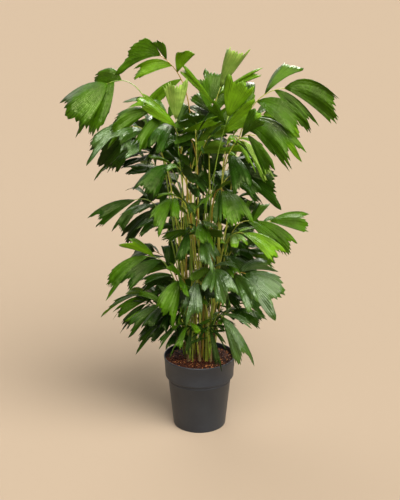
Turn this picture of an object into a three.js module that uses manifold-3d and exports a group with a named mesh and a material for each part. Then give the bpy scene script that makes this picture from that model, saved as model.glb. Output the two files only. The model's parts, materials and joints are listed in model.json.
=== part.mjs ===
// Clustering fishtail palm in a round nursery pot.
// Millimetres, +Z up, origin at the middle of the pot's flat underside, -Y is the front.
import * as THREE from "three";
import { mergeVertices } from "three/addons/utils/BufferGeometryUtils.js";
import Module from "manifold-3d";

const wasm = await Module();
wasm.setup();

// Pot
const POT_HEIGHT = 249;
const RIM_RADIUS = 120;
const FOOT_RADIUS = 88.5;
const SHOULDER_RADIUS = 106.5;
const BAND_RADIUS = 114.8;
const BAND_BOTTOM = 178;
const POT_WALL = 2.4;
const POT_FLOOR = 3;
const LIP_WIDTH = 3.4;
const LIP_DEPTH = 5;
const FOOT_CHAMFER = 2.5;
const BAND_STEP = 4;
const ROUND_SEGMENTS = 36;

// Potting mix
const SOIL_LEVEL = 232;
const CLEARANCE = 0.3;
const HAIR = 0.08;

// Canes
const CANE_SIDES = 6;
const CANE_STEPS = 6;
const CANE_FOOT_RADIUS = 9.5;
const CANE_WAIST_RADIUS = 6.2;
const CANE_TIP_RADIUS = 3.4;
const CANE_FLARE_SHARE = 0.12;
const CANE_RING_CROWDING = 1.6;
const CANE_LEAN = 1.3;

// Frond stalks
const STALK_SIDES = 3;
const STALK_STEPS = 8;
const STALK_RADIUS = 3.3;
const STALK_RADIUS_PER_MM = 0.0022;
const STALK_TIP_RADIUS = 2.1;
const STALK_LEAN = 0.14;
const STALK_CLIMB = 0.42;
const STALK_ARCH = 0.3;
const LOWEST_STALK = 0.1;
const STALK_SPAN = 0.88;
const RING_CROWDING = 1.35;
const STALK_ROOT = 0.85;
const STALK_SIDE_STEP = 40;
const STALK_SIDE_TURN = 24;
const STALK_TURN = 2;
const STALK_TRIES = 16;

// Leaflets
const LEAF_THICKNESS = 0.5;
const LEAF_THICKNESS_SHARE = 0.012;
const LEAF_ROOT_WIDTH = 2.6;
const LEAF_ROOT_DEPTH = 0.3;
const TERMINAL_ROOT_DEPTH = 4;
const CENTRE_AT = 0.42;
const LEAST_OPENNESS = 0.25;
const FAN_REACH = 0.75;
const FAN_SWELL = 0.14;
const FAN_WIDTH = 0.8;
const TAIL_AT = 0.86;
const TAIL_WIDTH = 0.22;
const TAIL_SHARPNESS = 1.3;
const SECOND_TAIL_AT = 0.12;
const SECOND_TAIL_WIDTH = 0.16;
const SECOND_TAIL_SWELL = 0.12;
const SIDE_VEINS = [0, 0.3, 0.6, TAIL_AT, 1];
const TERMINAL_VEINS = [0, SECOND_TAIL_AT, 0.36, 0.62, TAIL_AT, 1];
const BLADE_PER_LEAFLET = 0.42;
const LONGEST_BLADE = 0.6;
const LOWEST_LEAFLET_TURN = 60;
const HIGHEST_LEAFLET_TURN = 30;
const TURN_SWING = 14;
const LEAFLET_LIFT = 0.1;
const LIFT_SWING = 0.25;
const ROLL_SWING = 30;
const LEAST_SIZE = 0.8;
const SIZE_SWELL = 0.2;
const SIZE_SWING = 0.1;
const FAN_SWING = 0.25;
const TERMINAL_SIZE = 0.95;
const TERMINAL_FAN = 1.5;
const LEAST_DROOP = 0.5;
const MOST_DROOP = 1.3;
const UPRIGHT_DROOP = 0.25;
const UPRIGHT_TILT = 45;

// A leaflet that would touch its neighbours or fold over itself is turned, lifted, rolled and
// shortened, try by try.
const LEAF_TRIES = 9;
const TRY_TURN = 22;
const TRY_LIFT = 0.4;
const TRY_ROLL = 40;
const TRY_SHRINK = 0.05;

// What each drawn number is for.
const DRAW = { turn: 1, lift: 2, roll: 3, size: 4, fan: 5, droop: 6, stalkTurn: 7, stalkSide: 8 };
const TRY_DRAW = { roll: 10, turn: 20, lift: 30 };

const UP = new THREE.Vector3(0, 0, 1);
const { degToRad } = THREE.MathUtils;

// One row a shoot: direction and radius of its foot, height of its cane above the mix,
// and its fronds from the lowest to the highest. Directions are in degrees, 0 is +X and 90 is +Y.
// A frond: direction, how far out and how high its stalk's tip is, the tilt of that tip from upright,
// pairs of leaflets, leaflet length, half the angle a leaflet spreads to (below zero puts the tail of
// the end leaflet on its other side), and how far the blade is twisted round its stalk.
const SHOOTS = [
  {
    foot: [180, 46, 330],
    fronds: [
      [194, 108, 380, 95, 3, 130, 12, -25],
      [166, 212, 444, 102, 3, 150, 11, -40],
      [188, 172, 602, 100, 2, 165, 13, -60],
      [184, 210, 788, 110, 3, 165, -11, -45],
      [163, 205, 960, 98, 3, 170, 9, -20],
      [184, 286, 1158, 116, 1, 175, -21, -72],
    ],
  },
  {
    foot: [214, 44, 300],
    fronds: [
      [246, 100, 392, 120, 2, 110, -12, 20],
      [205, 140, 450, 95, 3, 140, 12, -40],
      [238, 122, 545, 115, 2, 125, 20, -25],
      [203, 165, 1082, 82, 3, 155, 15, -58],
      [196, 243, 1035, 100, 3, 160, 11, -50],
    ],
  },
  {
    foot: [270, 24, 290],
    fronds: [
      [266, 116, 545, 130, 1, 115, -16, 10],
      [276, 108, 690, 120, 2, 110, 16, -30],
      [250, 106, 705, 110, 2, 105, -16, 25],
      [236, 150, 820, 100, 3, 125, 15, -30],
      [244, 165, 930, 90, 3, 140, -15, -30],
    ],
  },
  {
    foot: [322, 46, 310],
    fronds: [
      [310, 118, 418, 122, 2, 150, 9, 30],
      [293, 130, 590, 105, 2, 120, 19, 30],
      [328, 165, 700, 95, 3, 160, 14, 30],
      [298, 158, 850, 100, 2, 140, 16, 35],
      [338, 150, 985, 128, 4, 125, 8, 40],
    ],
  },
  {
    foot: [355, 48, 340],
    fronds: [
      [342, 118, 420, 90, 3, 130, 11, 20],
      [334, 165, 560, 105, 2, 165, -18, 50],
      [346, 180, 725, 105, 3, 158, 13, 45],
      [352, 132, 872, 98, 2, 160, -19, 55],
      [350, 266, 1150, 85, 3, 212, 18, 58],
    ],
  },
  {
    foot: [35, 52, 320],
    fronds: [
      [20, 120, 440, 88, 3, 130, 10, 10],
      [42, 175, 600, 88, 3, 140, 16, 20],
      [8, 235, 705, 92, 3, 155, 11, 35],
      [45, 190, 900, 85, 4, 150, 16, 30],
      [10, 215, 1050, 98, 3, 160, -19, 50],
    ],
  },
  {
    foot: [80, 56, 310],
    fronds: [
      [85, 145, 455, 88, 3, 125, 12, 0],
      [100, 200, 640, 88, 3, 145, 16, 20],
      [70, 240, 825, 88, 4, 150, 16, -20],
      [95, 240, 985, 84, 4, 160, 18, 10],
      [75, 145, 1085, 50, 3, 150, 18, 0],
    ],
  },
  {
    foot: [130, 56, 330],
    fronds: [
      [125, 140, 425, 88, 3, 120, 12, 0],
      [146, 185, 580, 88, 3, 135, 15, -20],
      [120, 240, 760, 90, 4, 150, 16, 20],
      [150, 235, 905, 90, 3, 155, 12, -30],
      [135, 175, 1065, 65, 4, 155, 18, -20],
    ],
  },
  {
    foot: [175, 15, 430],
    fronds: [
      [262, 80, 1050, 52, 3, 140, 16, 25],
      [228, 105, 1062, 4, 1, 165, -11, -125],
      [182, 122, 1244, 58, 2, 155, 18, -88],
    ],
  },
  {
    foot: [25, 20, 440],
    fronds: [
      [322, 112, 1068, 22, 2, 170, 17, 128],
      [4, 66, 1146, 22, 1, 190, -8, 85],
      [60, 74, 1085, 20, 2, 150, 17, 30],
    ],
  },
];

const FOLIAGE_GREENS = [0x2f6322, 0x376f26, 0x2b5a22, 0x447f2c, 0x34682a, 0x559a30];
const POT_GREY = 0x3c3c3d;
const MIX_BROWN = 0x4a3122;
const CANE_BROWN = 0x7a6238;

// A number from 0 to 1 that belongs to the given whole numbers, the same each time.
function chance(...keys) {
  let hash = 2166136261;
  for (const key of keys) {
    hash = Math.imul(hash ^ key, 16777619) >>> 0;
    hash = (hash ^ (hash >>> 13)) >>> 0;
  }
  hash = Math.imul(hash ^ (hash >>> 15), 2246822519) >>> 0;
  return ((hash ^ (hash >>> 13)) >>> 0) / 4294967296;
}

function swing(...keys) {
  return 2 * chance(...keys) - 1;
}

function outward(degrees) {
  const angle = degToRad(degrees);
  return new THREE.Vector3(Math.cos(angle), Math.sin(angle), 0);
}

// The sum of vectors, each times its own number.
function blend(...pairs) {
  const sum = new THREE.Vector3();
  for (const [vector, share] of pairs) sum.addScaledVector(vector, share);
  return sum;
}

// A closed geometry as a solid, with coinciding corners merged and folded triangles dropped.
function solidFrom(geometry) {
  const bare = new THREE.BufferGeometry();
  bare.setAttribute("position", geometry.getAttribute("position"));
  bare.setIndex(geometry.index);
  const joined = mergeVertices(bare, 1e-3);
  const corners = joined.index.array;
  const kept = [];
  for (let i = 0; i < corners.length; i += 3) {
    const [a, b, c] = corners.slice(i, i + 3);
    if (a !== b && b !== c && c !== a) kept.push(a, b, c);
  }
  return new wasm.Manifold(
    new wasm.Mesh({
      numProp: 3,
      vertProperties: joined.attributes.position.array,
      triVerts: Uint32Array.from(kept),
    }),
  );
}

function meshFrom(solid, name, colour, roughness) {
  const raw = solid.getMesh();
  const places = new Float32Array(raw.numVert * 3);
  for (let i = 0; i < raw.numVert; i += 1) {
    places.set(raw.vertProperties.subarray(i * raw.numProp, i * raw.numProp + 3), i * 3);
  }
  const geometry = new THREE.BufferGeometry();
  geometry.setAttribute("position", new THREE.BufferAttribute(places, 3));
  geometry.setIndex(new THREE.BufferAttribute(raw.triVerts, 1));
  geometry.computeVertexNormals();
  const material = new THREE.MeshStandardMaterial({ color: colour, roughness, metalness: 0 });
  const mesh = new THREE.Mesh(geometry, material);
  mesh.name = name;
  return mesh;
}

// A profile of radius and height, spun round the upright axis.
function spun(profile) {
  const points = profile.map(([radius, height]) => new THREE.Vector2(radius, height));
  const geometry = new THREE.LatheGeometry(points, ROUND_SEGMENTS);
  geometry.rotateX(Math.PI / 2);
  return solidFrom(geometry);
}

// The inner face of the wall from the floor up, drawn in by a clearance.
function innerWall(inset) {
  const gap = POT_WALL + inset;
  return [
    [FOOT_RADIUS - gap, POT_FLOOR + inset],
    [SHOULDER_RADIUS - gap, BAND_BOTTOM - BAND_STEP / 2],
    [BAND_RADIUS - gap, BAND_BOTTOM + BAND_STEP],
  ];
}

// Radius of the wall's inner face just under the lip.
const UNDER_LIP = RIM_RADIUS - LIP_WIDTH - 0.4;

// A plain tapered pot with a wider band under its rim, a small lip and a flat underside.
function pot() {
  const lipBottom = POT_HEIGHT - LIP_DEPTH;
  return spun([
    [0, 0],
    [FOOT_RADIUS - FOOT_CHAMFER, 0],
    [FOOT_RADIUS - 0.6, 0.9],
    [FOOT_RADIUS, FOOT_CHAMFER + 0.5],
    [SHOULDER_RADIUS, BAND_BOTTOM - BAND_STEP],
    [BAND_RADIUS - 1.4, BAND_BOTTOM],
    [BAND_RADIUS, BAND_BOTTOM + BAND_STEP / 2],
    [RIM_RADIUS - 1, lipBottom - 1],
    [RIM_RADIUS, lipBottom],
    [RIM_RADIUS, POT_HEIGHT - 1],
    [RIM_RADIUS - 1, POT_HEIGHT],
    [RIM_RADIUS - LIP_WIDTH, POT_HEIGHT],
    [UNDER_LIP, lipBottom],
    ...innerWall(0).reverse(),
    [0, POT_FLOOR],
  ]);
}

// The mix fills the pot to its level, a clearance away from the wall and floor.
function pottingMix() {
  const side = innerWall(CLEARANCE);
  const [ledge, ledgeHeight] = side[side.length - 1];
  const rise = (SOIL_LEVEL - ledgeHeight) / (POT_HEIGHT - LIP_DEPTH - ledgeHeight);
  const edge = ledge + (UNDER_LIP - CLEARANCE - ledge) * rise;
  return spun([[0, POT_FLOOR + CLEARANCE], ...side, [edge, SOIL_LEVEL], [0, SOIL_LEVEL]]);
}

// A cane's curve starts just above the mix and leans outward as it rises.
function caneCurve([direction, radius, height]) {
  const ground = blend([outward(direction), radius], [UP, SOIL_LEVEL + CLEARANCE]);
  const bend = blend([ground, 1], [UP, height / 2]);
  const top = blend([outward(direction), radius * CANE_LEAN], [UP, SOIL_LEVEL + height]);
  return new THREE.QuadraticBezierCurve3(ground, bend, top);
}

function caneRadius(share) {
  if (share < CANE_FLARE_SHARE) {
    const flare = 1 - share / CANE_FLARE_SHARE;
    return CANE_WAIST_RADIUS + (CANE_FOOT_RADIUS - CANE_WAIST_RADIUS) * flare;
  }
  const rest = (share - CANE_FLARE_SHARE) / (1 - CANE_FLARE_SHARE);
  return CANE_WAIST_RADIUS + (CANE_TIP_RADIUS - CANE_WAIST_RADIUS) * rest;
}

// A cane with level rings, so that its foot is cut flat at the mix. `grown` makes it that much larger
// all round.
function cane(foot, grown) {
  const curve = caneCurve(foot);
  const geometry = new THREE.CylinderGeometry(1, 1, 1, CANE_SIDES, CANE_STEPS);
  const places = geometry.getAttribute("position");
  for (let i = 0; i < places.count; i += 1) {
    const [x, even, y] = [places.getX(i), places.getY(i) + 0.5, -places.getZ(i)];
    const share = even ** CANE_RING_CROWDING;
    const middle = curve.getPoint(share);
    const radius = caneRadius(share) + grown;
    const isEnd = even < 0.01 || even > 0.99;
    const beyond = isEnd ? grown * Math.sign(even - 0.5) : 0;
    places.setXYZ(i, middle.x + radius * x, middle.y + radius * y, middle.z + beyond);
  }
  return solidFrom(geometry);
}

function frondRow(shoot, order) {
  const [direction, reach, height, tilt, pairs, size, spread, twist] = SHOOTS[shoot].fronds[order];
  return { direction, reach, height, tilt, pairs, size, spread, twist };
}

// A frond stalk's curve: it leaves its cane, climbs beside it and arches over at the tip.
function stalkCurve(shoot, order, attempt) {
  const { foot, fronds } = SHOOTS[shoot];
  const { direction, reach, height, tilt } = frondRow(shoot, order);
  const turn = attempt * STALK_TURN * swing(shoot, order, attempt, DRAW.stalkTurn);
  const sway = attempt * STALK_SIDE_TURN * swing(shoot, order, attempt, DRAW.stalkSide);
  const sideways = STALK_SIDE_STEP * ((order % 3) - 1) + sway;
  const out = outward(direction + turn);
  const leaving = outward(direction + turn + sideways);
  const share = LOWEST_STALK + (STALK_SPAN * order) / (fronds.length - 1);
  const stem = caneCurve(foot);
  const start = blend([stem.getPoint(share), 1], [leaving, caneRadius(share) * STALK_ROOT]);
  const tip = blend([out, reach], [UP, height]);
  const span = start.distanceTo(tip);
  const climb = blend([stem.getTangent(share), 1], [leaving, STALK_LEAN]).normalize();
  const over = blend([out, Math.sin(degToRad(tilt))], [UP, Math.cos(degToRad(tilt))]);
  const climbed = blend([start, 1], [climb, span * STALK_CLIMB]);
  const arched = blend([tip, 1], [over, -span * STALK_ARCH]);
  return { curve: new THREE.CubicBezierCurve3(start, climbed, arched, tip), out, span };
}

// The blade's own axes at a place on a stalk: along it, across its blade, and out of its upper face.
function bladeAxes({ curve, out }, share, twist) {
  const along = curve.getTangent(share);
  const level = Math.sqrt(Math.max(0, 1 - along.z * along.z));
  const inner = blend([out, -along.z], [UP, level]);
  const across = along.clone().cross(inner).normalize();
  const face = across.clone().cross(along);
  const angle = degToRad(twist);
  return {
    along,
    across: blend([across, Math.cos(angle)], [face, -Math.sin(angle)]),
    face: blend([face, Math.cos(angle)], [across, Math.sin(angle)]),
  };
}

function stalkRadius(span, share) {
  const thick = STALK_RADIUS + STALK_RADIUS_PER_MM * span;
  return thick + (STALK_TIP_RADIUS - thick) * share;
}

// Rings sit closer together towards the tip, where a stalk arches.
function ringShare(even) {
  return 1 - Math.max(0, 1 - even) ** RING_CROWDING;
}

// The place on the straight run between two rings at a share of the stalk.
function stalkPoint(path, share) {
  const even = (1 - Math.max(0, 1 - share) ** (1 / RING_CROWDING)) * STALK_STEPS;
  const below = Math.min(STALK_STEPS - 1, Math.floor(even));
  const lower = path.curve.getPoint(ringShare(below / STALK_STEPS));
  const upper = path.curve.getPoint(ringShare((below + 1) / STALK_STEPS));
  return lower.lerp(upper, even - below);
}

// A three-sided tapering tube along a stalk's curve.
function stalk(path) {
  const geometry = new THREE.CylinderGeometry(1, 1, 1, STALK_SIDES, STALK_STEPS);
  const places = geometry.getAttribute("position");
  for (let i = 0; i < places.count; i += 1) {
    const share = ringShare(places.getY(i) + 0.5);
    const { across, face } = bladeAxes(path, share, 0);
    const radius = stalkRadius(path.span, share);
    const [up, aside] = [radius * places.getX(i), -radius * places.getZ(i)];
    const corner = blend([path.curve.getPoint(share), 1], [face, up], [across, aside]);
    places.setXYZ(i, corner.x, corner.y, corner.z);
  }
  return solidFrom(geometry);
}

// How far the vein at q runs, as a share of the leaflet's length. q is 0 on the short side and 1 on the
// long side, where the tail is. An end leaflet has a second, lesser tail on its short side.
function veinReach(q, terminal) {
  const fan = FAN_REACH + FAN_SWELL * Math.sin(Math.PI * Math.min(1, q / FAN_WIDTH));
  const tail = Math.max(0, 1 - Math.abs(q - TAIL_AT) / TAIL_WIDTH) ** TAIL_SHARPNESS;
  const reach = fan + (1 - fan) * tail;
  if (!terminal) return reach;
  const second = Math.max(0, 1 - Math.abs(q - SECOND_TAIL_AT) / SECOND_TAIL_WIDTH) ** TAIL_SHARPNESS;
  return Math.max(reach, FAN_REACH + SECOND_TAIL_SWELL * second);
}

// Where a frond's leaflet sits, which way it points and how it is shaped, in a given attempt.
function leafletPlan({ path, shoot, order }, number, attempt) {
  const { tilt, pairs, size, spread, twist } = frondRow(shoot, order);
  const draw = (key) => swing(shoot, order, number, key);
  const retry = (key) => (attempt ? swing(shoot, order, number, key + attempt) : 0);
  const count = pairs * 2;
  const terminal = number === count;
  const rank = number / count;
  const side = (number + shoot + order) % 2 ? 1 : -1;

  const blade = Math.min(LONGEST_BLADE, (pairs * size * BLADE_PER_LEAFLET) / path.span);
  const share = terminal ? 1 : 1 - blade * (1 - (number + 0.35) / (count + 0.3));
  const { along, across, face } = bladeAxes(path, share, twist);

  const narrowing = LOWEST_LEAFLET_TURN - HIGHEST_LEAFLET_TURN;
  const spreadOut = LOWEST_LEAFLET_TURN - narrowing * rank + TURN_SWING * draw(DRAW.turn);
  const turn = degToRad((terminal ? 0 : spreadOut) + TRY_TURN * retry(TRY_DRAW.turn));
  const lift = LEAFLET_LIFT + LIFT_SWING * draw(DRAW.lift) + TRY_LIFT * retry(TRY_DRAW.lift);
  const roll = degToRad(ROLL_SWING * draw(DRAW.roll) + TRY_ROLL * retry(TRY_DRAW.roll));
  const aim = blend([along, Math.cos(turn)], [across, Math.sin(turn) * side], [face, lift]).normalize();
  const flat = blend([face, 1], [aim, -face.dot(aim)]).normalize().applyAxisAngle(aim, roll);

  const swell = LEAST_SIZE + SIZE_SWELL * Math.sin(Math.PI * Math.min(1, rank + 0.2));
  const relative = terminal ? TERMINAL_SIZE : swell + SIZE_SWING * draw(DRAW.size);
  const fan = Math.abs(spread) * (terminal ? TERMINAL_FAN : 1) * (1 + FAN_SWING * draw(DRAW.fan));
  const loose = LEAST_DROOP + (MOST_DROOP - LEAST_DROOP) * chance(shoot, order, number, DRAW.droop);
  const depth = terminal ? TERMINAL_ROOT_DEPTH : LEAF_ROOT_DEPTH;
  return {
    root: blend([stalkPoint(path, share), 1], [aim, -depth]),
    aim,
    flat,
    wide: flat.clone().cross(aim),
    length: size * relative * (1 - TRY_SHRINK * attempt),
    fan: degToRad(fan),
    droop: tilt > UPRIGHT_TILT ? loose : UPRIGHT_DROOP,
    mirrored: terminal ? spread < 0 : side < 0,
    terminal,
  };
}

// A point of a leaflet: q goes from one edge to the other, s from the root outward.
function leafPoint(plan, q, s) {
  const angle = plan.fan * (2 * q - 1);
  return blend(
    [plan.root, 1],
    [plan.aim, plan.length * s * Math.cos(angle)],
    [plan.wide, plan.length * s * Math.sin(angle)],
    [UP, (-plan.droop / 2) * plan.length * s * s],
  );
}

// The leaflet's margin from one edge to the other, with the tail on the side that the plan says.
function leafOutline(plan) {
  const veins = plan.terminal ? TERMINAL_VEINS : SIDE_VEINS;
  const margin = veins.map((q) => {
    const place = plan.mirrored ? 1 - q : q;
    return { q: place, s: veinReach(q, plan.terminal) };
  });
  if (plan.mirrored) margin.reverse();
  return margin;
}

function halfThickness(plan) {
  return (LEAF_THICKNESS + LEAF_THICKNESS_SHARE * plan.length) / 2;
}

// A leaflet's middle, and its outline from one root corner round the margin to the other.
function leafSheet(plan) {
  const sunk = blend([plan.root, 1], [plan.flat, -halfThickness(plan) / 2]);
  const rim = leafOutline(plan).map(({ q, s }) => leafPoint(plan, q, s));
  const corners = [-1, 1].map((side) => blend([sunk, 1], [plan.wide, (side * LEAF_ROOT_WIDTH) / 2]));
  return { centre: leafPoint(plan, 0.5, CENTRE_AT), outline: [corners[0], ...rim, corners[1]] };
}

// True when no part of a leaflet is folded over another, so that the whole fan round its middle
// faces its upper side.
function liesOpen(plan) {
  const { centre, outline } = leafSheet(plan);
  const arms = outline.map((corner) => corner.clone().sub(centre));
  return arms.slice(1).every((arm, i) => {
    const normal = arms[i].clone().cross(arm).normalize();
    return normal.dot(plan.flat) > LEAST_OPENNESS;
  });
}

// A leaflet as a thin closed lens, with a three-cornered root.
function leaflet(plan) {
  const half = halfThickness(plan);
  const { centre, outline } = leafSheet(plan);
  const points = [
    ...outline,
    blend([centre, 1], [plan.flat, half]),
    blend([centre, 1], [plan.flat, -half]),
    blend([plan.root, 1], [plan.flat, half]),
  ];
  const last = outline.length - 1;
  const [top, bottom, ridge] = [last + 1, last + 2, last + 3];
  const faces = [top, last, ridge, top, ridge, 0, ridge, last, 0, bottom, 0, last];
  for (let i = 0; i < last; i += 1) {
    faces.push(top, i, i + 1);
    faces.push(bottom, i + 1, i);
  }
  const geometry = new THREE.BufferGeometry().setFromPoints(points);
  geometry.setIndex(faces);
  return solidFrom(geometry);
}

// Solids already placed, each with its bounds and its owner.
const placed = [];

function place(solid, owner) {
  placed.push({ solid, owner, bounds: solid.boundingBox() });
}

function boxesApart(a, b) {
  return [0, 1, 2].some((i) => a.min[i] > b.max[i] + CLEARANCE || b.min[i] > a.max[i] + CLEARANCE);
}

// True when a solid keeps its clearance from all that is placed, but for its one friend.
function isClear(solid, friend) {
  const bounds = solid.boundingBox();
  return placed.every((other) => {
    if (other.owner === friend || boxesApart(bounds, other.bounds)) return true;
    return solid.minGap(other.solid, 2 * CLEARANCE) >= CLEARANCE;
  });
}

// A frond's stalk in the first attempt that is clear of the rest. It may meet only its own cane.
function placeStalk(shoot, order) {
  for (let attempt = 0; attempt < STALK_TRIES; attempt += 1) {
    const path = stalkCurve(shoot, order, attempt);
    const solid = stalk(path);
    if (isClear(solid, `cane ${shoot}`)) {
      const owner = `stalk ${shoot} ${order}`;
      place(solid, owner);
      return { shoot, order, path, owner, count: frondRow(shoot, order).pairs * 2, solids: [solid] };
    }
  }
  throw new Error(`no room for the stalk of frond ${order} of shoot ${shoot}`);
}

// A leaflet in the first attempt that lies open and is clear of all but its own stalk, or none.
function placeLeaflet(frond, number) {
  for (let attempt = 0; attempt < LEAF_TRIES; attempt += 1) {
    const plan = leafletPlan(frond, number, attempt);
    if (!liesOpen(plan)) continue;
    const solid = leaflet(plan);
    if (isClear(solid, frond.owner)) {
      place(solid, "leaflet");
      frond.solids.push(solid);
      return;
    }
  }
}

// All fronds: stalks first, then the end leaflets, then the side leaflets from the tips inward.
function growFronds() {
  const fronds = SHOOTS.flatMap((row, shoot) => row.fronds.map((_, order) => placeStalk(shoot, order)));
  for (const frond of fronds) placeLeaflet(frond, frond.count);
  const most = Math.max(...fronds.map((frond) => frond.count));
  for (let number = most - 1; number >= 0; number -= 1) {
    for (const frond of fronds) {
      if (number < frond.count) placeLeaflet(frond, number);
    }
  }
  return fronds;
}

function largestBody(solid) {
  const bodies = solid.decompose();
  return bodies.reduce((best, body) => (body.volume() > best.volume() ? body : best));
}

// A solid whose edges shorter than a hair are drawn together to one corner, so that no sliver is left
// where a leaflet meets its stalk.
function withoutSlivers(solid) {
  const { numProp, numVert, vertProperties, triVerts } = solid.getMesh();
  const corner = (i) => new THREE.Vector3().fromArray(vertProperties, i * numProp);
  const standIn = Array.from({ length: numVert }, (_, i) => i);
  const settled = (i) => (standIn[i] === i ? i : settled(standIn[i]));
  triVerts.forEach((from, i) => {
    const to = triVerts[i % 3 === 2 ? i - 2 : i + 1];
    const [kept, dropped] = [settled(from), settled(to)].sort((a, b) => a - b);
    if (corner(kept).distanceTo(corner(dropped)) < HAIR) standIn[dropped] = kept;
  });
  const geometry = new THREE.BufferGeometry();
  geometry.setAttribute("position", new THREE.BufferAttribute(vertProperties.slice(), numProp));
  geometry.setIndex(Array.from(triVerts, settled));
  return solidFrom(geometry);
}

// A frond as one solid, its stalk's root cut back from its cane.
function joinFrond({ shoot, solids }) {
  const joined = wasm.Manifold.union(solids);
  const cut = joined.subtract(cane(SHOOTS[shoot].foot, CLEARANCE));
  return withoutSlivers(largestBody(cut));
}

function pad(number) {
  return String(number).padStart(2, "0");
}

const potSolid = pot();
const mixSolid = pottingMix();
const caneSolids = SHOOTS.map(({ foot }) => cane(foot, 0));
place(potSolid, "pot");
place(mixSolid, "mix");
caneSolids.forEach((solid, shoot) => place(solid, `cane ${shoot}`));

const palm = new THREE.Group();
palm.name = "clustering_fishtail_palm";
palm.add(meshFrom(potSolid, "pot", POT_GREY, 0.6));
palm.add(meshFrom(mixSolid, "potting_mix", MIX_BROWN, 0.95));
caneSolids.forEach((solid, shoot) => {
  palm.add(meshFrom(solid, `cane_${pad(shoot + 1)}`, CANE_BROWN, 0.8));
});
for (const frond of growFronds()) {
  const { shoot, order } = frond;
  const green = FOLIAGE_GREENS[(shoot * 3 + order * 5) % FOLIAGE_GREENS.length];
  palm.add(meshFrom(joinFrond(frond), `frond_${pad(shoot + 1)}_${order + 1}`, green, 0.5));
}

export default palm;
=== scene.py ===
import json
import math
import random
from types import SimpleNamespace

import bmesh
import bpy
from mathutils import Matrix, Quaternion, Vector
from mathutils.bvhtree import BVHTree
from mathutils.kdtree import KDTree

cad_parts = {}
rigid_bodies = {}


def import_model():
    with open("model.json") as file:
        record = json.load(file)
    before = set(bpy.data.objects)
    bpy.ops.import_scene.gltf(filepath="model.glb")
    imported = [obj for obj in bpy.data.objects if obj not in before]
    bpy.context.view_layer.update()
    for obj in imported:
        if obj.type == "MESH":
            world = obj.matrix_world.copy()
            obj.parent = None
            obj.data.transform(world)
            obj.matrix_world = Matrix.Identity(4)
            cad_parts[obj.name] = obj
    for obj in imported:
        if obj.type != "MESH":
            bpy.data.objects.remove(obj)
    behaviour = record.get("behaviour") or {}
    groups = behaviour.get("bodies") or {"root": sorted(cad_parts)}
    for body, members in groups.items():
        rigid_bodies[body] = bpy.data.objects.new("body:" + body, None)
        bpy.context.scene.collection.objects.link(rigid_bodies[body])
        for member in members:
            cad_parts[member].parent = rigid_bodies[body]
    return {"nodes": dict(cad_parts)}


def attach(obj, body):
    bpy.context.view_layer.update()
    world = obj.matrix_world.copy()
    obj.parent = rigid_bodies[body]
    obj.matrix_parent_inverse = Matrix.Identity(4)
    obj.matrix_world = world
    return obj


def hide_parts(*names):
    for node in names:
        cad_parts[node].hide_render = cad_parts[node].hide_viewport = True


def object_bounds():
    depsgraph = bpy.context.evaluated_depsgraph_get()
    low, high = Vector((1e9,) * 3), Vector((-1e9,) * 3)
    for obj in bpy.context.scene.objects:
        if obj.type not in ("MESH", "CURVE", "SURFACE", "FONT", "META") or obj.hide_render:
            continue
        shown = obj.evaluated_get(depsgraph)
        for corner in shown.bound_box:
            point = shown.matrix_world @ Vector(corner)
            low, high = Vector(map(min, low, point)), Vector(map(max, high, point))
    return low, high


for leftover in list(bpy.data.objects):
    bpy.data.objects.remove(leftover)

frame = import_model()
cad_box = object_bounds()

MM = 0.001
UP = Vector((0, 0, 1))

# Pot, in metres
POT_HEIGHT = 0.249
RIM_RADIUS = 0.120
FOOT_RADIUS = 0.0885
SHOULDER_RADIUS = 0.1065
BAND_RADIUS = 0.1148
BAND_BOTTOM = 0.178
POT_WALL = 0.0024
POT_FLOOR = 0.003
LIP_WIDTH = 0.0034
LIP_DEPTH = 0.005
BEAD_HEIGHT = 0.1655
BEAD = 0.001
POT_SEGMENTS = 128

# Potting mix, in metres, heaped a little round the canes. A chip's tilt is in radians.
MIX_RADIUS = 0.1105
CHIPS_DARK = 2300
CHIPS_FRESH = 360
CHIP_LENGTHS = (0.004, 0.011)
CHIP_WIDTHS = (0.35, 0.7)
CHIP_THICKNESSES = (0.0014, 0.0032)
CHIP_BREAKAGE = (0.65, 1.1)
CHIP_TILT = 0.45
HEAP_HEIGHT = 0.004
HEAP_REACH = 0.016
HEAP_ROUGHNESS = 0.0015

# Corners nearer than this many metres become one
WELD = 0.00001

# The rule of the palm, in millimetres and degrees, as the part has it
SOIL_LEVEL = 232
CLEARANCE = 0.3
CANE_FOOT_RADIUS = 9.5
CANE_WAIST_RADIUS = 6.2
CANE_TIP_RADIUS = 3.4
CANE_FLARE_SHARE = 0.12
CANE_LEAN = 1.3
STALK_SIDES = 3
STALK_STEPS = 8
STALK_RADIUS = 3.3
STALK_RADIUS_PER_MM = 0.0022
STALK_TIP_RADIUS = 2.1
STALK_LEAN = 0.14
STALK_CLIMB = 0.42
STALK_ARCH = 0.3
LOWEST_STALK = 0.1
STALK_SPAN = 0.88
RING_CROWDING = 1.35
STALK_ROOT = 0.85
STALK_SIDE_STEP = 40
STALK_SIDE_TURN = 24
STALK_TURN = 2
STALK_TRIES = 16
LEAF_ROOT_WIDTH = 2.6
LEAF_ROOT_DEPTH = 0.3
TERMINAL_ROOT_DEPTH = 4
FAN_REACH = 0.75
FAN_SWELL = 0.14
FAN_WIDTH = 0.8
TAIL_AT = 0.86
TAIL_WIDTH = 0.22
TAIL_SHARPNESS = 1.3
SECOND_TAIL_AT = 0.12
SECOND_TAIL_WIDTH = 0.16
SECOND_TAIL_SWELL = 0.12
SIDE_VEINS = (0, 0.3, 0.6, TAIL_AT, 1)
TERMINAL_VEINS = (0, SECOND_TAIL_AT, 0.36, 0.62, TAIL_AT, 1)
BLADE_PER_LEAFLET = 0.42
LONGEST_BLADE = 0.6
FIRST_LEAFLET = 0.35
LAST_LEAFLET = 0.3
LOWEST_LEAFLET_TURN = 60
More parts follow.
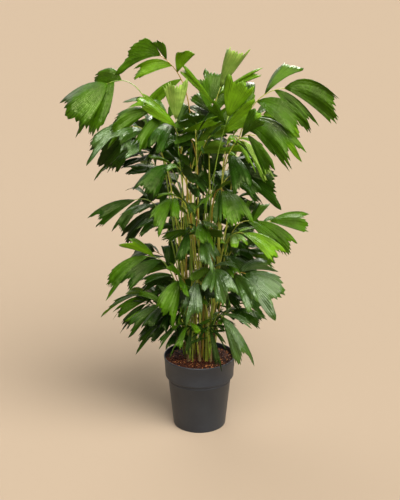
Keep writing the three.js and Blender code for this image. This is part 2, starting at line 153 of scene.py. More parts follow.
HIGHEST_LEAFLET_TURN = 30
TURN_SWING = 14
LEAFLET_LIFT = 0.1
LIFT_SWING = 0.25
ROLL_SWING = 30
LEAST_SIZE = 0.8
SIZE_SWELL = 0.2
SWELL_AT = 0.2
SIZE_SWING = 0.1
FAN_SWING = 0.25
TERMINAL_SIZE = 0.95
TERMINAL_FAN = 1.5
LEAST_DROOP = 0.5
MOST_DROOP = 1.3
UPRIGHT_DROOP = 0.25
UPRIGHT_TILT = 45
LEAF_TRIES = 9
TRY_TURN = 22
TRY_LIFT = 0.4
TRY_ROLL = 40
TRY_SHRINK = 0.05

# The hash behind the rule's chances
HASH_START = 2166136261
HASH_PRIME = 16777619
HASH_STIR = 2246822519
HASH_BITS = 0xFFFFFFFF

# How near a corner of the part lies to the place that the rule gives it, the rings of a stalk that
# are looked up, and the least number of corners that a leaflet of the part has in place
CORNER_SLACK = 0.15
RINGS_LOOKED_UP = range(3, 7)
LEAST_CORNERS = 3

# The studio, in metres and degrees
FLOOR_REACH = 300
MIDDLE_OF_PALM = (0, 0, 0.75)
CAMERA_PLACE = (0.0017, -3.098, 1.605)
CAMERA_TILT = 72.31
CAMERA_LENS = 72
CAMERA_SENSOR = 36

# Strength of the sky as light on the plant, and as the backdrop above the floor's far edge
SKY_LIGHT = 0.03
SKY_SEEN = 0.745

# Finer leaflets: a grid of columns and rows, its sheet and pleats in millimetres, and most other
# measures as shares of the leaflet's length or width
LEAF_COLUMNS = 26
LEAF_ROWS = 6
LEAF_SHEET = 0.45
LEAF_BULGE = 0.55
SHOULDER = 0.3
SHOULDER_AT = 0.3
PLEAT = 0.15
PLEAT_SWING = 0.4
PLEAT_COLUMNS = 4
PLEAT_RISE = 2.5
TOOTH = 0.055
TOOTH_COLUMNS = 3
NOTCH = 0.1
NOTCH_COLUMNS = 5
TEAR = 0.13
TEAR_CHANCE = 0.05
TAIL_SIDE = 0.75
CUP = 0.14
CUP_MIDDLE = 0.4
CUP_RIM = 0.3
WAVE = 0.055
WAVES = 5
LEAFLETS_PER_PIECE = 250

# How much of its bulge, cup and waves a leaflet has: the part's own take the first that finds room
EASES = (1, 0.4, 0)
COMPANION_EASE = 0.6

# The rough sheet or tube that stands for a leaflet, stalk, cane or spear where room is looked for
ROUGH_LEAF_GRID = (6, 4)
ROUGH_STALK_GRID = (4, 14)
ROUGH_CANE_GRID = (8, 10)
ROUGH_SPEAR_GRID = (5, 8)

# Fronds between the part's own: each beside one of those, within its reach, and in a darker tint, which is
# older and also paints the shade that falls between the fronds
COMPANION_KEYS = 20
COMPANION_TURN = 42
COMPANION_REACHES = (0.5, 0.92)
COMPANION_HEIGHTS = (0.8, 0.98)
COMPANION_LEAST_SHARE = 0.05
COMPANION_STEP_DOWN = 0.07
COMPANION_CLIMB = 130
COMPANION_SIZE = 0.85
COMPANION_MOST_TILT = 125
COMPANION_TILT_SWING = 12
COMPANION_TWIST_SWING = 40
COMPANION_OLD_SHADED_TINTS = 3
COMPANION_LEAN_TO_OLD_SHADED = 1.4

# Round the foot of the clump the companions are feathery, with more and narrower leaflets
FEATHERY_BELOW = 480
FEATHERY_PAIRS = 3
FEATHERY_SIZE = 0.9
FEATHERY_SPREAD = 0.6
FEATHERY_OLD_SHADED_TINTS = 2

# Tints of leaflets from the oldest to the youngest, and how often one at the side differs from its frond.
# They run from dark to light, so they also paint shade on the leaflets inside and low in the clump, and
# paint light on the lit and backlit ones.
AGE_AND_LIGHT_TINTS = ("old", "deep", "mid", "bright", "lime")
DARKER_CHANCE = 0.3
LIGHTER_CHANCE = 0.15

# Finer stalks, canes, young spears and sheaths, in millimetres. A grid has sides round a tube and
# steps along it. A cane's ribs each have a height, a number round it and a turn from cane to cane.
FINE_STALK_SHARE = 0.62
FINE_STALK_TOP = 0.75
FINE_STALK_GRID = (8, 28)
FINE_CANE_FOOT = 1.6
FINE_CANE_FLARE = 0.05
FINE_CANE_SHARE = 0.66
FINE_CANE_GRID = (18, 72)
CANE_RIBS = ((0.12, 9, 1), (0.1, 17, 2))
RING_SPACING = 38
RING_SHIFT = 9
RING_AT = 6
RING_WIDTH = 2.2
RING_SWELL = 0.55
SPEARS = 38
SPEAR_KEY = 400
SPEAR_GRID = (7, 18)
SPEAR_RADIUS = 2.6
SPEAR_LEAST_THICKNESS = 0.6
SPEAR_THICKNESS_SPAN = 0.5
SPEAR_TAPER = 0.3
SPEAR_POINT = 2.2
SPEAR_TOP = 1.02
SPEAR_REACH = 41.4
SPEAR_DEPTH = 2
SPEAR_LEAST_HEIGHT = 110
SPEAR_HEIGHT_SPAN = 330
SPEAR_SHORTNESS = 1.5
SPEAR_LEAN = 0.07
SPEAR_BEND = 0.2
SPEAR_SEAM = 0.16
SPEAR_SEAM_TURN = 5
SHEATH_GRID = (16, 12)
SHEATH_LENGTH = 46
LOWEST_SHEATH = 0.01
SHEATH_ROUND_FROM = 0.12
SHEATH_ROUND_SPAN = 0.85
SHEATH_THICKNESS = 1.5
SHEATH_DEPTH = 0.4
SHEATH_ROUNDNESS = 0.4
SHEATH_SLANT = 9
SHEATH_FRILL = 0.25
SHEATH_FRILLS = 7

# One row a shoot: direction and radius of its foot and height of its cane above the mix, and its
# fronds from the lowest to the highest. A frond: direction, how far out and how high its stalk's tip
# is, the tilt of that tip from upright, pairs of leaflets, leaflet length, half the angle that a
# leaflet spreads to, how far the blade is twisted round its stalk, and the tint of its leaflets.
SHOOTS = (
    ((180, 46, 330), (
        (194, 108, 380, 95, 3, 130, 12, -25, "deep"),
        (166, 212, 444, 102, 3, 150, 11, -40, "mid"),
        (188, 172, 602, 100, 2, 165, 13, -60, "mid"),
        (184, 210, 788, 110, 3, 165, -11, -45, "deep"),
        (163, 205, 960, 98, 3, 170, 9, -20, "deep"),
        (184, 286, 1158, 116, 1, 175, -21, -72, "mid"),
    )),
    ((214, 44, 300), (
        (246, 100, 392, 120, 2, 110, -12, 20, "mid"),
        (205, 140, 450, 95, 3, 140, 12, -40, "deep"),
        (238, 122, 545, 115, 2, 125, 20, -25, "mid"),
        (203, 165, 1082, 82, 3, 155, 15, -58, "mid"),
        (196, 243, 1035, 100, 3, 160, 11, -50, "silver"),
    )),
    ((270, 24, 290), (
        (266, 116, 545, 130, 1, 115, -16, 10, "silver"),
        (276, 108, 690, 120, 2, 110, 16, -30, "silver"),
        (250, 106, 705, 110, 2, 105, -16, 25, "deep"),
        (236, 150, 820, 100, 3, 125, 15, -30, "mid"),
        (244, 165, 930, 90, 3, 140, -15, -30, "deep"),
    )),
    ((322, 46, 310), (
        (310, 118, 418, 122, 2, 150, 9, 30, "silver"),
        (293, 130, 590, 105, 2, 120, 19, 30, "silver"),
        (328, 165, 700, 95, 3, 160, 14, 30, "bright"),
        (298, 158, 850, 100, 2, 140, 16, 35, "mid"),
        (338, 150, 985, 128, 4, 125, 8, 40, "lime"),
    )),
    ((355, 48, 340), (
        (342, 118, 420, 90, 3, 130, 11, 20, "deep"),
        (334, 165, 560, 105, 2, 165, -18, 50, "silver"),
        (346, 180, 725, 105, 3, 158, 13, 45, "mid"),
        (352, 132, 872, 98, 2, 160, -19, 55, "deep"),
        (350, 266, 1150, 85, 3, 212, 18, 58, "mid"),
    )),
    ((35, 52, 320), (
        (20, 120, 440, 88, 3, 130, 10, 10, "deep"),
        (42, 175, 600, 88, 3, 140, 16, 20, "deep"),
        (8, 235, 705, 92, 3, 155, 11, 35, "mid"),
        (45, 190, 900, 85, 4, 150, 16, 30, "deep"),
        (10, 215, 1050, 98, 3, 160, -19, 50, "bright"),
    )),
    ((80, 56, 310), (
        (85, 145, 455, 88, 3, 125, 12, 0, "deep"),
        (100, 200, 640, 88, 3, 145, 16, 20, "mid"),
        (70, 240, 825, 88, 4, 150, 16, -20, "deep"),
        (95, 240, 985, 84, 4, 160, 18, 10, "mid"),
        (75, 145, 1085, 50, 3, 150, 18, 0, "bright"),
    )),
    ((130, 56, 330), (
        (125, 140, 425, 88, 3, 120, 12, 0, "deep"),
        (146, 185, 580, 88, 3, 135, 15, -20, "deep"),
        (120, 240, 760, 90, 4, 150, 16, 20, "mid"),
        (150, 235, 905, 90, 3, 155, 12, -30, "deep"),
        (135, 175, 1065, 65, 4, 155, 18, -20, "mid"),
    )),
    ((175, 15, 430), (
        (262, 80, 1050, 52, 3, 140, 16, 25, "deep"),
        (228, 105, 1062, 4, 1, 165, -11, -125, "lime"),
        (182, 122, 1244, 58, 2, 155, 18, -88, "mid"),
    )),
    ((25, 20, 440), (
        (322, 112, 1068, 22, 2, 170, 17, 128, "bright"),
        (4, 66, 1146, 22, 1, 190, -8, 85, "lime"),
        (60, 74, 1085, 20, 2, 150, 17, 30, "mid"),
    )),
)


# The rule, as the part has it


def chance(*keys):
    """A number from 0 to 1 that belongs to the given whole numbers, the same each time."""
    hashed = HASH_START
    for key in keys:
        hashed = (hashed ^ key) * HASH_PRIME & HASH_BITS
        hashed ^= hashed >> 13
    hashed = (hashed ^ (hashed >> 15)) * HASH_STIR & HASH_BITS
    return (hashed ^ (hashed >> 13)) / (HASH_BITS + 1)


def swing(*keys):
    """Such a number from -1 to 1."""
    return 2 * chance(*keys) - 1


def outward(degrees):
    angle = math.radians(degrees)
    return Vector((math.cos(angle), math.sin(angle), 0))


def blend_of(low, high, share):
    return low + (high - low) * share


def on_curve(points, share):
    """The place on a Bezier curve at a share of it, and the curve's direction there."""
    level = points
    while len(level) > 2:
        level = [a.lerp(b, share) for a, b in zip(level, level[1:])]
    return level[0].lerp(level[1], share), (level[1] - level[0]).normalized()


def cane_curve(foot):
    direction, radius, height = foot
    ground = outward(direction) * radius + UP * (SOIL_LEVEL + CLEARANCE)
    bend = ground + UP * height / 2
    top = outward(direction) * radius * CANE_LEAN + UP * (SOIL_LEVEL + height)
    return [ground, bend, top]


def cane_radius(share):
    if share < CANE_FLARE_SHARE:
        flare = 1 - share / CANE_FLARE_SHARE
        return CANE_WAIST_RADIUS + (CANE_FOOT_RADIUS - CANE_WAIST_RADIUS) * flare
    rest = (share - CANE_FLARE_SHARE) / (1 - CANE_FLARE_SHARE)
    return CANE_WAIST_RADIUS + (CANE_TIP_RADIUS - CANE_WAIST_RADIUS) * rest


def table_fronds():
    """The fronds of the table, each with its own cane and its place on it."""
    names = ("direction", "reach", "height", "tilt", "pairs", "size", "spread", "twist", "tint")
    fronds = []
    for shoot, (foot, rows) in enumerate(SHOOTS):
        for order, row in enumerate(rows):
            frond = SimpleNamespace(shoot=shoot, order=order, foot=foot, **dict(zip(names, row)))
            frond.share = LOWEST_STALK + STALK_SPAN * order / (len(rows) - 1)
            frond.node = f"frond_{shoot + 1:02d}_{order + 1}"
            fronds.append(frond)
    return fronds


def stalk_path(frond, attempt):
    """A frond stalk's curve: it leaves its cane, climbs beside it and arches over at the tip."""
    turn = attempt * STALK_TURN * swing(frond.shoot, frond.order, attempt, 7)
    sway = attempt * STALK_SIDE_TURN * swing(frond.shoot, frond.order, attempt, 8)
    sideways = STALK_SIDE_STEP * ((frond.order % 3) - 1) + sway
    out = outward(frond.direction + turn)
    leaving = outward(frond.direction + turn + sideways)
    stem, rising = on_curve(cane_curve(frond.foot), frond.share)
    start = stem + leaving * cane_radius(frond.share) * STALK_ROOT
    tip = out * frond.reach + UP * frond.height
    span = (tip - start).length
    climb = (rising + leaving * STALK_LEAN).normalized()
    tilt = math.radians(frond.tilt)
    over = out * math.sin(tilt) + UP * math.cos(tilt)
    curve = [start, start + climb * span * STALK_CLIMB, tip - over * span * STALK_ARCH, tip]
    return SimpleNamespace(curve=curve, out=out, leaving=leaving, span=span)


def blade_axes(path, share, twist):
    """The blade's own axes at a place on a stalk: along it, across it, and out of its upper face."""
    along = on_curve(path.curve, share)[1]
    level = math.sqrt(max(0, 1 - along.z * along.z))
    inner = path.out * -along.z + UP * level
    across = along.cross(inner).normalized()
    face = across.cross(along)
    angle = math.radians(twist)
    turned = across * math.cos(angle) - face * math.sin(angle)
    return along, turned, face * math.cos(angle) + across * math.sin(angle)


def stalk_radius(span, share):
    thick = STALK_RADIUS + STALK_RADIUS_PER_MM * span
    return thick + (STALK_TIP_RADIUS - thick) * share


def ring_share(even):
    return 1 - max(0, 1 - even) ** RING_CROWDING


def stalk_point(path, share):
    """The place on the straight run between two of the part's rings at a share of the stalk."""
    even = (1 - max(0, 1 - share) ** (1 / RING_CROWDING)) * STALK_STEPS
    below = min(STALK_STEPS - 1, math.floor(even))
    lower = on_curve(path.curve, ring_share(below / STALK_STEPS))[0]
    upper = on_curve(path.curve, ring_share((below + 1) / STALK_STEPS))[0]
    return lower.lerp(upper, even - below)


def vein_reach(q, terminal):
    """How far the vein at q runs, from 0 on the short side to 1 on the long side with the tail."""
    fan = FAN_REACH + FAN_SWELL * math.sin(math.pi * min(1, q / FAN_WIDTH))
    tail = max(0, 1 - abs(q - TAIL_AT) / TAIL_WIDTH) ** TAIL_SHARPNESS
    reach = fan + (1 - fan) * tail
    if not terminal:
        return reach
    second = max(0, 1 - abs(q - SECOND_TAIL_AT) / SECOND_TAIL_WIDTH) ** TAIL_SHARPNESS
    return max(reach, FAN_REACH + SECOND_TAIL_SWELL * second)


def leaflet_plan(frond, number, attempt):
    """Where a leaflet sits, which way it points and how it is shaped, in a given attempt."""
    keys = (frond.shoot, frond.order, number)
    count = frond.pairs * 2
    terminal = number == count
    rank = number / count
    side = 1 if (number + frond.shoot + frond.order) % 2 else -1

    def retry(key):
        return swing(*keys, key + attempt) if attempt else 0

    blade = min(LONGEST_BLADE, frond.pairs * frond.size * BLADE_PER_LEAFLET / frond.path.span)
    share = 1 if terminal else 1 - blade * (1 - (number + FIRST_LEAFLET) / (count + LAST_LEAFLET))
    along, across, face = blade_axes(frond.path, share, frond.twist)
    narrowing = LOWEST_LEAFLET_TURN - HIGHEST_LEAFLET_TURN
    spread_out = LOWEST_LEAFLET_TURN - narrowing * rank + TURN_SWING * swing(*keys, 1)
    turn = math.radians((0 if terminal else spread_out) + TRY_TURN * retry(20))
    lift = LEAFLET_LIFT + LIFT_SWING * swing(*keys, 2) + TRY_LIFT * retry(30)
    roll = math.radians(ROLL_SWING * swing(*keys, 3) + TRY_ROLL * retry(10))
    aim = (along * math.cos(turn) + across * math.sin(turn) * side + face * lift).normalized()
    flat = Quaternion(aim, roll) @ (face - aim * face.dot(aim)).normalized()

    swell = LEAST_SIZE + SIZE_SWELL * math.sin(math.pi * min(1, rank + SWELL_AT))
    relative = TERMINAL_SIZE if terminal else swell + SIZE_SWING * swing(*keys, 4)
    fan = abs(frond.spread) * (TERMINAL_FAN if terminal else 1) * (1 + FAN_SWING * swing(*keys, 5))
    loose = LEAST_DROOP + (MOST_DROOP - LEAST_DROOP) * chance(*keys, 6)
    depth = TERMINAL_ROOT_DEPTH if terminal else LEAF_ROOT_DEPTH
    return SimpleNamespace(
        keys=keys,
        root=stalk_point(frond.path, share) - aim * depth,
        smooth_root=on_curve(frond.path.curve, share)[0] - aim * depth,
        aim=aim,
        flat=flat,
        wide=flat.cross(aim),
        length=frond.size * relative * (1 - TRY_SHRINK * attempt),
        fan=math.radians(fan),
        droop=loose if frond.tilt > UPRIGHT_TILT else UPRIGHT_DROOP,
        mirrored=frond.spread < 0 if terminal else side < 0,
        terminal=terminal,
    )


def leaf_point(plan, q, s):
    """A point of a leaflet: q goes from one edge to the other, s from the root outward."""
    angle = plan.fan * (2 * q - 1)
    reach = plan.length * s
    spread = plan.aim * math.cos(angle) + plan.wide * math.sin(angle)
    return plan.root + spread * reach - UP * (plan.droop / 2 * reach * s)


# What the part's solids say of the rule's tries


def corners_of(node):
    """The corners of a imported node, in millimetres, to be looked up by place."""
    vertices = frame["nodes"][node].data.vertices
    tree = KDTree(len(vertices))
    for vertex in vertices:
        tree.insert(vertex.co / MM, vertex.index)
    tree.balance()
    return tree


def found(tree, points):
    """How many of the points have a corner of the part beside them."""
    return sum(tree.find(point)[2] < CORNER_SLACK for point in points)


def stalk_corners(path):
    """The corners that the part has round the middle rings of a stalk."""
    points = []
    for ring in RINGS_LOOKED_UP:
        share = ring_share(ring / STALK_STEPS)
        middle = on_curve(path.curve, share)[0]
        _, across, face = blade_axes(path, share, 0)
        radius = stalk_radius(path.span, share)
        for corner in range(STALK_SIDES):
            angle = math.tau * corner / STALK_SIDES
            points.append(middle + face * radius * math.sin(angle) - across * radius * math.cos(angle))
    return points


def leaf_corners(plan):
    """The corners that the part has along a leaflet's margin."""
    veins = TERMINAL_VEINS if plan.terminal else SIDE_VEINS
    return [leaf_point(plan, 1 - q if plan.mirrored else q, vein_reach(q, plan.terminal)) for q in veins]


def find_frond(frond):
    """Gives a frond of the table the stalk and the leaflets that found room in the part."""
    tree = corners_of(frond.node)
    paths = [stalk_path(frond, attempt) for attempt in range(STALK_TRIES)]
    frond.path = max(paths, key=lambda tried: found(tree, stalk_corners(tried)))
    frond.plans = []
    for number in range(frond.pairs * 2 + 1):
        for attempt in range(LEAF_TRIES):
            plan = leaflet_plan(frond, number, attempt)
            if found(tree, leaf_corners(plan)) >= LEAST_CORNERS:
                frond.plans.append(plan)
                break


# Room: rough shapes of all that is placed, so that nothing finer runs through it

placed = []


def rough_shape(points, grid, owner):
    """A rough sheet or tube, as rows of points, with its bounds and its owner."""
    columns, rows = grid
    wide = columns + 1
    quads = [
        (row * wide + i, row * wide + i + 1, (row + 1) * wide + i + 1, (row + 1) * wide + i)
        for row in range(rows)
        for i in range(columns)
    ]
    low = [min(point[axis] for point in points) for axis in range(3)]
    high = [max(point[axis] for point in points) for axis in range(3)]
    return SimpleNamespace(low=low, high=high, owner=owner, tree=BVHTree.FromPolygons(points, quads))


def rough_tube(place, grid, owner):
    sides, steps = grid
    points = [
        place(step / steps, math.tau * corner / sides)
        for step in range(steps + 1)
        for corner in range(sides + 1)
    ]
    return rough_shape(points, grid, owner)


def rough_leaf(plan):
    columns, rows = ROUGH_LEAF_GRID
    points = [
        leaf_surface(plan, column / columns, row / rows)
        for row in range(rows + 1)
        for column in range(columns + 1)
    ]
    return rough_shape(points, ROUGH_LEAF_GRID, "leaflet")


def has_room(shape, friend):
    """True when a shape runs through nothing placed so far, but for its one friend."""
    for other in placed:
        if other.owner == friend:
            continue
        if any(shape.low[i] > other.high[i] or other.low[i] > shape.high[i] for i in range(3)):
            continue
        if shape.tree.overlap(other.tree):
            return False
    return True


def settle_leaflets(frond):
    """Bends the part's own leaflets only so far as they have room for it."""
    for plan in frond.plans:
        for ease in EASES:
            plan.ease = ease
            shape = rough_leaf(plan)
            if has_room(shape, frond.owner):
                break
        placed.append(shape)


def companion(own):
    """A frond between the part's own, beside one of them, or None where it finds no room."""
    keys = (own.shoot + COMPANION_KEYS, own.order)
    nearness = blend_of(*COMPANION_REACHES, chance(*keys, 71))
    lowness = blend_of(*COMPANION_HEIGHTS, chance(*keys, 72))
    share = max(COMPANION_LEAST_SHARE, own.share - COMPANION_STEP_DOWN)
    start = SOIL_LEVEL + share * own.foot[2]
    frond = SimpleNamespace(
        node=None,
        shoot=keys[0],
        order=own.order,
        foot=own.foot,
        share=share,
        direction=own.direction + COMPANION_TURN * swing(*keys, 70),
        reach=own.reach * nearness,
        height=max(own.height * lowness, start + COMPANION_CLIMB),
        tilt=min(COMPANION_MOST_TILT, own.tilt + COMPANION_TILT_SWING * swing(*keys, 73)),
        pairs=own.pairs,
        size=own.size * COMPANION_SIZE,
        spread=own.spread,
        twist=own.twist + COMPANION_TWIST_SWING * swing(*keys, 74),
        # A companion draws mostly the darkest tints: painted shade inside the clump
        tint=AGE_AND_LIGHT_TINTS[math.floor(COMPANION_OLD_SHADED_TINTS * chance(*keys, 75) ** COMPANION_LEAN_TO_OLD_SHADED)],
        owner=f"stalk {keys}",
        plans=[],
    )
    if own.height < FEATHERY_BELOW:
        make_feathery(frond)
    for attempt in range(STALK_TRIES):
        frond.path = stalk_path(frond, attempt)
        shape = rough_tube(stalk_surface(frond.path), ROUGH_STALK_GRID, frond.owner)
        if has_room(shape, f"cane {own.foot}"):
            placed.append(shape)
            return frond
    return None


def make_feathery(frond):
    """Gives a low companion more, smaller and narrower leaflets in the darkest tints, which also paint the
    shade at the foot of the clump.
    """
    frond.pairs += FEATHERY_PAIRS
    frond.size *= FEATHERY_SIZE
    frond.spread *= FEATHERY_SPREAD
    frond.tint = AGE_AND_LIGHT_TINTS[math.floor(FEATHERY_OLD_SHADED_TINTS * chance(frond.shoot, frond.order, 76))]


def within_part(shape):
    """True when a shape stays inside the box of the whole part."""
    low, high = cad_box
    return all(shape.low[i] * MM > low[i] and shape.high[i] * MM < high[i] for i in range(3))


def grow_leaflets(frond, number):
    """A companion's leaflet in the first attempt that has room, or none."""
    for attempt in range(LEAF_TRIES):
        plan = leaflet_plan(frond, number, attempt)
        plan.ease = COMPANION_EASE
        shape = rough_leaf(plan)
        if within_part(shape) and has_room(shape, frond.owner):
            placed.append(shape)
            frond.plans.append(plan)
            return


# Meshes


def put(name, data):
    """A new object in the scene."""
    made = bpy.data.objects.new(name, data)
    bpy.context.scene.collection.objects.link(made)
    return made


def finished(name, mesh, materials, nodes, smooth=True):
    """A piece from a bmesh: it gets its materials and slot, rides on the plant and stands for nodes."""
    data = bpy.data.meshes.new(name)
    for face in mesh.faces:
        face.smooth = smooth
    mesh.to_mesh(data)
    mesh.free()
    piece = put(name, data)
    for material in materials:
        data.materials.append(material)
    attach(piece, "root")
    if nodes:
        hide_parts(*nodes)
    return piece


def rolled_tube(mesh, grid, place):
    """A grid rolled up into a closed tube. place gives the point at a share along and an angle round."""
    sides, steps = grid
    made = bmesh.ops.create_grid(mesh, x_segments=sides, y_segments=steps, size=0.5, calc_uvs=True)
    for vert in made["verts"]:
        vert.co = place(vert.co.y + 0.5, math.tau * (vert.co.x + 0.5)) * MM
    bmesh.ops.remove_doubles(mesh, verts=made["verts"], dist=WELD)
    kept = [vert for vert in made["verts"] if vert.is_valid]
    rims = {edge for vert in kept for edge in vert.link_edges if edge.is_boundary}
    bmesh.ops.holes_fill(mesh, edges=list(rims), sides=0)
    bmesh.ops.recalc_face_normals(mesh, faces=list({face for vert in kept for face in vert.link_faces}))


def tubes(name, layer, grid, places, material, nodes=()):
    """Closed tubes as one piece, one for each of the functions that give their points."""
    mesh = bmesh.new()
    mesh.loops.layers.uv.new(layer)
    for place in places:
        rolled_tube(mesh, grid, place)
    finished(name, mesh, [material], nodes)


def fine_reach(plan, q):
    """How far a vein runs in the finer leaflet: round at its shoulder, and fuller outside its tail."""
    across = 1 - q if plan.mirrored else q
    reach = vein_reach(across, plan.terminal)
    if across < SHOULDER_AT and not plan.terminal:
        return reach * (1 - SHOULDER * (1 - across / SHOULDER_AT) ** 2)
    if across <= TAIL_AT:
        return reach
    edge = vein_reach(1, plan.terminal)
    return edge + (1 - edge) * ((1 - across) / (1 - TAIL_AT)) ** TAIL_SIDE


def tooth(plan, column):
    """How much of its reach a vein loses to the ragged margin, as a share."""
    place = LEAF_COLUMNS - column if plan.mirrored else column
    if place == 0 or place > TAIL_AT * LEAF_COLUMNS:
        return 0
    if chance(*plan.keys, 50 + column) < TEAR_CHANCE:
        return TEAR * (0.5 + chance(*plan.keys, 90 + column))
    notch = NOTCH * chance(*plan.keys, 110 + place // NOTCH_COLUMNS) ** 2
    group, step = divmod(place, TOOTH_COLUMNS)
    deep = 0.5 + chance(*plan.keys, 130 + group)
    return notch + TOOTH * deep * step / (TOOTH_COLUMNS - 1)


def leaf_surface(plan, q, row):
    """A point of the smooth leaflet, from one side to the other and from the root to the margin."""
    return bent(plan, q, row, row * fine_reach(plan, q), 0)


def bent(plan, q, row, s, pleat):
    """A point of a leaflet's sheet, at a share s of its length, once it is cupped, waved and pleated."""
    aside = 2 * q - 1
    bulge = 1 + LEAF_BULGE * plan.ease * (1 - row)
    place = leaf_point(plan, 0.5 + aside / 2 * bulge, s)
    place += (plan.smooth_root - plan.root) * (1 - row) ** 2
    place += plan.wide * LEAF_ROOT_WIDTH * aside / 2 * (1 - row)
    cup = CUP * (CUP_MIDDLE + swing(*plan.keys, 40))
    phase = math.tau * chance(*plan.keys, 41)
    ripple = WAVE * plan.length * s * s * math.sin(WAVES * aside + phase)
    bowl = cup * plan.length * s * (CUP_RIM - aside * aside)
    return place + plan.flat * (pleat + plan.ease * (ripple + bowl))


def fine_leaflet(mesh, plan):
    """A leaflet as a thin pleated sheet with a ragged margin, on the part's own leaflet."""
    columns, rows = LEAF_COLUMNS, LEAF_ROWS
    made = bmesh.ops.create_grid(mesh, x_segments=columns, y_segments=rows, size=0.5, calc_uvs=True)
    for vert in made["verts"]:
        q, row = vert.co.x + 0.5, vert.co.y + 0.5
        column = round(q * columns)
        s = row * fine_reach(plan, q) * (1 - tooth(plan, column) * row)
        fold = PLEAT + PLEAT_SWING * chance(*plan.keys, 170 + column // PLEAT_COLUMNS)
        pleat = fold * math.sin(math.tau * column / PLEAT_COLUMNS) * min(1, PLEAT_RISE * s)
        vert.co = bent(plan, q, row, s, pleat) * MM
    bmesh.ops.reverse_faces(mesh, faces=list({face for vert in made["verts"] for face in vert.link_faces}))


def leaf_tint(frond, plan):
    """The tint of a leaflet: its frond's own at the end, at the sides now and then the next one."""
    if plan.terminal or frond.tint == "silver":
        return frond.tint
    draw = chance(*plan.keys, 80)
    place = AGE_AND_LIGHT_TINTS.index(frond.tint) - (draw < DARKER_CHANCE) + (draw > 1 - LIGHTER_CHANCE)
    return AGE_AND_LIGHT_TINTS[min(max(place, 0), AGE_AND_LIGHT_TINTS.index("bright"))]


def leaflets(name, grown, materials):
    """Leaflets of one tint as one piece of thin sheets with a paler underside."""
    mesh = bmesh.new()
    mesh.loops.layers.uv.new("leaf")
    for _, plan in grown:
        fine_leaflet(mesh, plan)
    nodes = {frond.node for frond, _ in grown if frond.node}
    piece = finished(name, mesh, materials, sorted(nodes))
    sheet = piece.modifiers.new("sheet", "SOLIDIFY")
    sheet.thickness = LEAF_SHEET * MM
    sheet.offset = 0
    sheet.material_offset = 1


def stalk_surface(path):
    """The skin of a round tapering stalk, a little flattened on its upper side."""

    def place(share, angle):
        middle = on_curve(path.curve, share)[0]
        _, across, face = blade_axes(path, share, 0)
        radius = stalk_radius(path.span, share) * FINE_STALK_SHARE
        upper = math.sin(angle)
        if upper > 0:
            upper = FINE_STALK_TOP * upper
        return middle + (face * upper + across * math.cos(angle)) * radius

    return place


def stalks(name, fronds, material):
    surfaces = [stalk_surface(frond.path) for frond in fronds]
    nodes = [frond.node for frond in fronds if frond.node]
    tubes(name, "stalk", FINE_STALK_GRID, surfaces, material, nodes)


def fine_cane_radius(share):
    """The finer cane is thinner than the part's and widens only close above the mix."""
    evenly = CANE_WAIST_RADIUS + (CANE_TIP_RADIUS - CANE_WAIST_RADIUS) * share
    return FINE_CANE_SHARE * evenly + FINE_CANE_FOOT * math.exp(-share / FINE_CANE_FLARE)


def cane_surface(foot):
    """The skin of a tapering cane with a ring at each old leaf."""
    curve = cane_curve(foot)
    seed = foot[0]

    def place(share, angle):
        middle = on_curve(curve, share)[0]
        above = share * foot[2] + RING_SHIFT * chance(seed, 60)
        ring = math.exp(-(((above % RING_SPACING) - RING_AT) / RING_WIDTH) ** 2)
        ribs = sum(rib * math.sin(number * angle + turn * seed) for rib, number, turn in CANE_RIBS)
        return middle + outward(math.degrees(angle)) * (fine_cane_radius(share) + RING_SWELL * ring + ribs)

    return place


def canes(material):
    surfaces = [cane_surface(foot) for foot, _ in SHOOTS]
    nodes = [f"cane_{shoot + 1:02d}" for shoot in range(len(SHOOTS))]
    tubes("canes", "cane", FINE_CANE_GRID, surfaces, material, nodes)


def sheath_surface(frond):
    """The skin of the sheath by which a frond clasps its cane, slanting up towards its stalk."""
    foot = frond.foot
    curve = cane_curve(foot)
    top = frond.share
    bottom = max(LOWEST_SHEATH, top - SHEATH_LENGTH / foot[2])
    leaving = math.atan2(frond.path.leaving.y, frond.path.leaving.x)

    def place(share, angle):
        at = bottom + (top - bottom) * share
        middle = on_curve(curve, at)[0]
        slant = SHEATH_SLANT * share * math.cos(angle - leaving)
        hug = math.sin(math.pi * (SHEATH_ROUND_FROM + SHEATH_ROUND_SPAN * share)) ** SHEATH_ROUNDNESS
        frill = SHEATH_FRILL * math.sin(SHEATH_FRILLS * angle + frond.order) * share
        radius = fine_cane_radius(at) - SHEATH_DEPTH + (SHEATH_THICKNESS + frill) * hug
        return middle + outward(math.degrees(angle)) * radius + UP * slant

    return place


def sheaths(name, fronds, material):
    surfaces = [sheath_surface(frond) for frond in fronds]
    tubes(name, "sheath", SHEATH_GRID, surfaces, material)


def spear_surface(number):
    """The skin of a young shoot that stands up from the mix between the canes, still rolled up."""
    keys = (SPEAR_KEY, number)
    ground = outward(360 * chance(*keys, 1)) * SPEAR_REACH * math.sqrt(chance(*keys, 2))
    height = SPEAR_LEAST_HEIGHT + SPEAR_HEIGHT_SPAN * chance(*keys, 3) ** SPEAR_SHORTNESS
    lean = outward(360 * chance(*keys, 4)) * height * SPEAR_LEAN
    foot = ground + UP * (SOIL_LEVEL - SPEAR_DEPTH)
    curve = [foot, foot + UP * height / 2 + lean * SPEAR_BEND, foot + UP * height + lean]
    thick = SPEAR_RADIUS * (SPEAR_LEAST_THICKNESS + SPEAR_THICKNESS_SPAN * chance(*keys, 5))

    def place(share, angle):
        middle = on_curve(curve, share)[0]
        taper = min(1, (SPEAR_TOP - share) * SPEAR_POINT) * (1 - SPEAR_TAPER * share)
        seam = SPEAR_SEAM * math.cos(angle - SPEAR_SEAM_TURN * share)
        return middle + outward(math.degrees(angle)) * thick * taper * (1 + seam)

    return place


